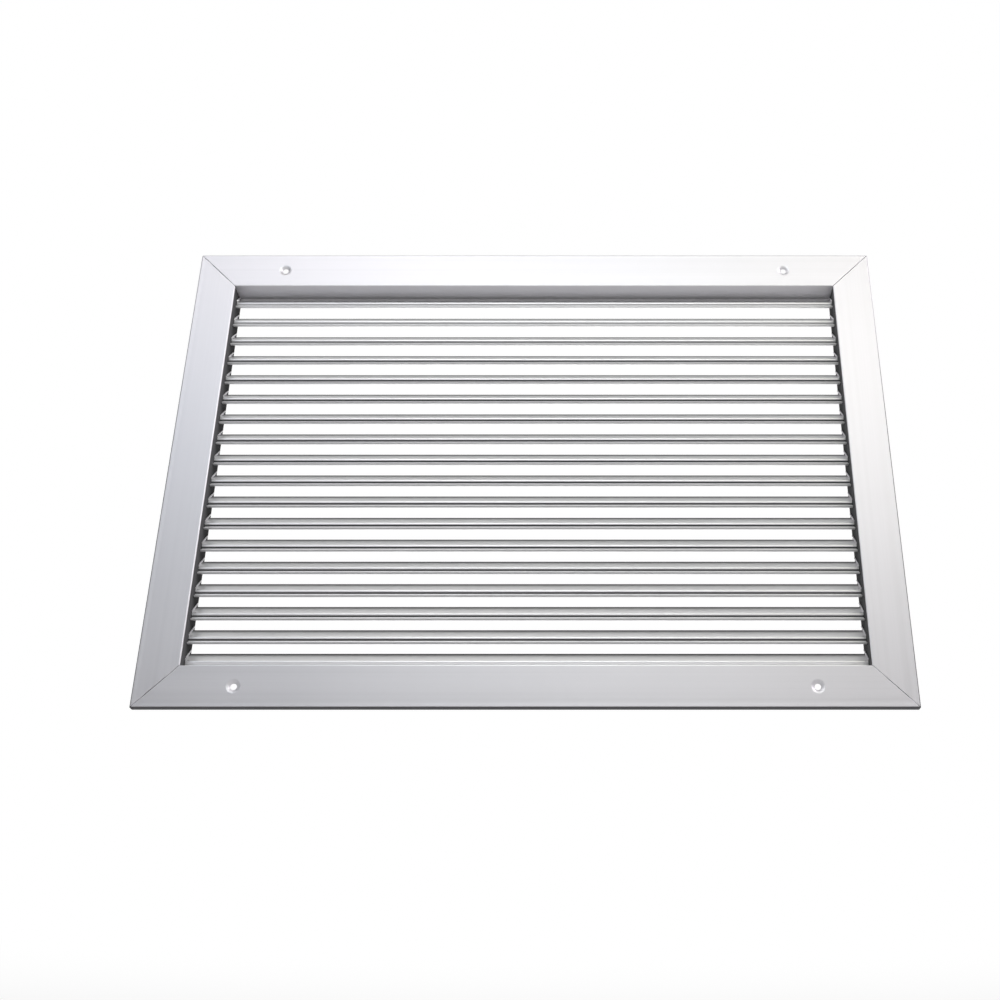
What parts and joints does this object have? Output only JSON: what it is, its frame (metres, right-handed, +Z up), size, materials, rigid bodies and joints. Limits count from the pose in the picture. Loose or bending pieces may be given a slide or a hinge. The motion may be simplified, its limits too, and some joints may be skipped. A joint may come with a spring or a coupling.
{
  "type": "return air grille",
  "caption": "Rectangular aluminium grille with a mitred flange frame, a shallow neck and fixed sloping louvre blades, screwed over a return duct opening.",
  "frame": {"origin": "middle of the grille's bounding box, which is halfway back along the neck", "axes": "+X to the right as seen from the room, along the blades; +Z up; the face looks towards -Y into the room and the neck goes towards +Y into the duct"},
  "size_m": [0.5, 0.02, 0.35],
  "materials": {
    "frame": "satin natural anodised extrusion",
    "blade": "satin natural anodised extrusion",
    "key": "mill finish flat bar"
  },
  "bodies": {
    "root": {"frame_top": "frame", "frame_bottom": "frame", "frame_left": "frame", "frame_right": "frame", "louvre_blade_01": "blade", "louvre_blade_02": "blade", "louvre_blade_03": "blade", "louvre_blade_04": "blade", "louvre_blade_05": "blade", "louvre_blade_06": "blade", "louvre_blade_07": "blade", "louvre_blade_08": "blade", "louvre_blade_09": "blade", "louvre_blade_10": "blade", "louvre_blade_11": "blade", "louvre_blade_12": "blade", "louvre_blade_13": "blade", "louvre_blade_14": "blade", "louvre_blade_15": "blade", "louvre_blade_16": "blade", "louvre_blade_17": "blade", "louvre_blade_18": "blade", "corner_key_top_left": "key", "corner_key_top_right": "key", "corner_key_bottom_left": "key", "corner_key_bottom_right": "key"}
  },
  "joints": []
}
